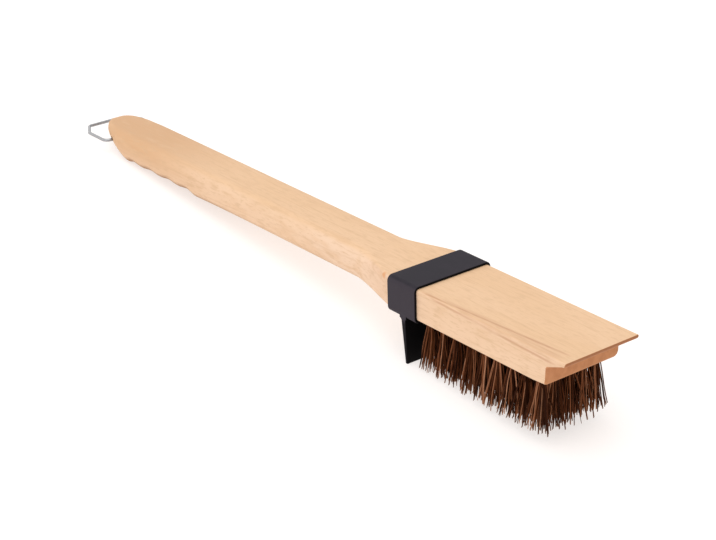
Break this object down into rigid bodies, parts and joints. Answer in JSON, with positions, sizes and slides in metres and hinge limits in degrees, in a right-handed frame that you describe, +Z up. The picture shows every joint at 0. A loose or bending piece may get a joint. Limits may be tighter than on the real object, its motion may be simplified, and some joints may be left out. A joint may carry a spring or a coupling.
{
  "type": "grill brush",
  "caption": "Long wooden grill brush with stiff brown bristles, a black collar that carries a wedge scraper, and a swinging wire hanging loop.",
  "frame": {"origin": "on the table, under the middle of the brush's bounding box, as it lies on its scraper and the end of its grip", "axes": "+X along the brush towards the head, +Y across it, +Z up"},
  "size_m": [0.4593, 0.0532, 0.0564],
  "materials": {
    "wood": "smooth, sanded, unvarnished",
    "black_plastic": "moulded, matte",
    "fibre": "stiff natural plant fibre",
    "wire_steel": "dull plated wire",
    "screw_steel": "plated"
  },
  "bodies": {
    "brush": {"wood_handle": "wood", "scraper_collar": "black_plastic", "collar_screw_1": "screw_steel", "collar_screw_2": "screw_steel", "tuft_r1_c1": "fibre", "tuft_r1_c2": "fibre", "tuft_r1_c3": "fibre", "tuft_r1_c4": "fibre", "tuft_r1_c5": "fibre", "tuft_r1_c6": "fibre", "tuft_r1_c7": "fibre", "tuft_r1_c8": "fibre", "tuft_r1_c9": "fibre", "tuft_r2_c1": "fibre", "tuft_r2_c2": "fibre", "tuft_r2_c3": "fibre", "tuft_r2_c4": "fibre", "tuft_r2_c5": "fibre", "tuft_r2_c6": "fibre", "tuft_r2_c7": "fibre", "tuft_r2_c8": "fibre", "tuft_r2_c9": "fibre", "tuft_r3_c1": "fibre", "tuft_r3_c2": "fibre", "tuft_r3_c3": "fibre", "tuft_r3_c4": "fibre", "tuft_r3_c5": "fibre", "tuft_r3_c6": "fibre", "tuft_r3_c7": "fibre", "tuft_r3_c8": "fibre", "tuft_r3_c9": "fibre", "tuft_r4_c1": "fibre", "tuft_r4_c2": "fibre", "tuft_r4_c3": "fibre", "tuft_r4_c4": "fibre", "tuft_r4_c5": "fibre", "tuft_r4_c6": "fibre", "tuft_r4_c7": "fibre", "tuft_r4_c8": "fibre", "tuft_r4_c9": "fibre", "tuft_r5_c1": "fibre", "tuft_r5_c2": "fibre", "tuft_r5_c3": "fibre", "tuft_r5_c4": "fibre", "tuft_r5_c5": "fibre", "tuft_r5_c6": "fibre", "tuft_r5_c7": "fibre", "tuft_r5_c8": "fibre", "tuft_r5_c9": "fibre"},
    "hang_loop": {"hang_loop": "wire_steel"}
  },
  "joints": [
    {"name": "hang_loop_swing", "type": "hinge", "parent": "brush", "child": "hang_loop", "pos_m": [-0.19783, 0, 0.00876], "axis": [0, 1, 0], "range_deg": [-155, 160]}
  ]
}
